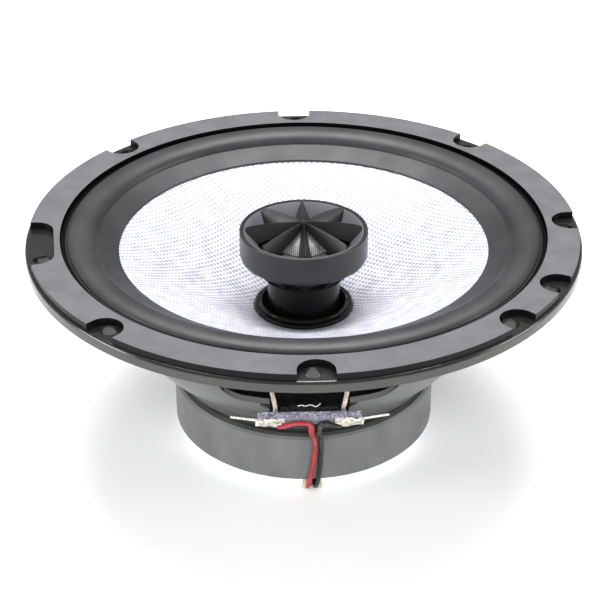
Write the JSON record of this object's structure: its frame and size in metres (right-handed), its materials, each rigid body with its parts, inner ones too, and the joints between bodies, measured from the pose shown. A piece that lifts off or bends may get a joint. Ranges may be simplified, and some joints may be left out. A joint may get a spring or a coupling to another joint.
{
  "type": "coaxial car speaker",
  "caption": "Round coaxial car speaker: black pressed steel basket, notched mounting ring, woven white cone on a rubber surround, and a dome tweeter under a ribbed guard on a stem.",
  "frame": {"origin": "centre of the back plate's underside, on the speaker's axis", "axes": "+Z along the axis towards the listener, -Y towards the terminals, +X to the right when seen from the terminals"},
  "size_m": [0.165, 0.165, 0.0693],
  "materials": {
    "basket_black": "gloss black paint",
    "ring_grey": "matte",
    "rubber": "satin",
    "cone_weave": "woven glass fibre, satin",
    "spider_cloth": "resin-dipped black cloth",
    "former_film": "satin",
    "copper": "enamelled wire",
    "black_adhesive": "gloss",
    "plate_steel": "dark plated",
    "ferrite": "ground satin",
    "zinc_steel": "zinc plated",
    "tweeter_plastic": "satin",
    "stem_plastic": "gloss",
    "dome_cloth": "coated weave",
    "roll_cloth": "coated",
    "board_laminate": "speckled laminate",
    "tinned_brass": "tinned",
    "solder": "lumpy",
    "tinsel": "braided",
    "red_insulation": "satin",
    "red_sleeve": "satin",
    "black_insulation": "satin",
    "capacitor_black": "gloss sleeve",
    "beige_glue": "satin"
  },
  "bodies": {
    "chassis": {"basket": "basket_black", "mounting_ring": "ring_grey", "top_plate": "plate_steel", "magnet": "ferrite", "yoke": "zinc_steel", "basket_rivets": "zinc_steel", "stem": "stem_plastic", "stem_nut": "zinc_steel", "tweeter_housing": "tweeter_plastic", "tweeter_guard": "tweeter_plastic", "tweeter_cup": "zinc_steel", "tweeter_magnet": "zinc_steel", "tweeter_pole_plate": "zinc_steel", "tweeter_frame_ring": "stem_plastic", "terminal_board": "board_laminate", "board_rivets": "tinned_brass", "lug_positive": "tinned_brass", "lug_negative": "tinned_brass", "solder_joints": "solder", "tinsel_lead_left": "tinsel", "tinsel_lead_right": "tinsel", "capacitor": "capacitor_black", "wire_red": "red_insulation", "wire_black": "black_insulation", "wire_sleeve": "red_sleeve", "wire_adhesive": "beige_glue"},
    "cone_assembly": {"surround": "rubber", "spider": "spider_cloth", "cone": "cone_weave", "coil_former": "former_film", "coil_winding": "copper", "neck_adhesive": "black_adhesive"},
    "tweeter_diaphragm": {"tweeter_dome": "dome_cloth", "tweeter_dome_roll": "roll_cloth", "tweeter_coil": "copper"}
  },
  "joints": [
    {"name": "cone_travel", "type": "slide", "parent": "chassis", "child": "cone_assembly", "axis": [0, 0, 1], "range_m": [-0.004, 0.004], "stiffness_N_per_m": 2000, "deforming": ["surround", "spider", "tinsel_lead_left", "tinsel_lead_right"]},
    {"name": "tweeter_travel", "type": "slide", "parent": "chassis", "child": "tweeter_diaphragm", "axis": [0, 0, 1], "range_m": [-0.0003, 0.0003], "stiffness_N_per_m": 500, "deforming": ["tweeter_dome_roll"]}
  ]
}
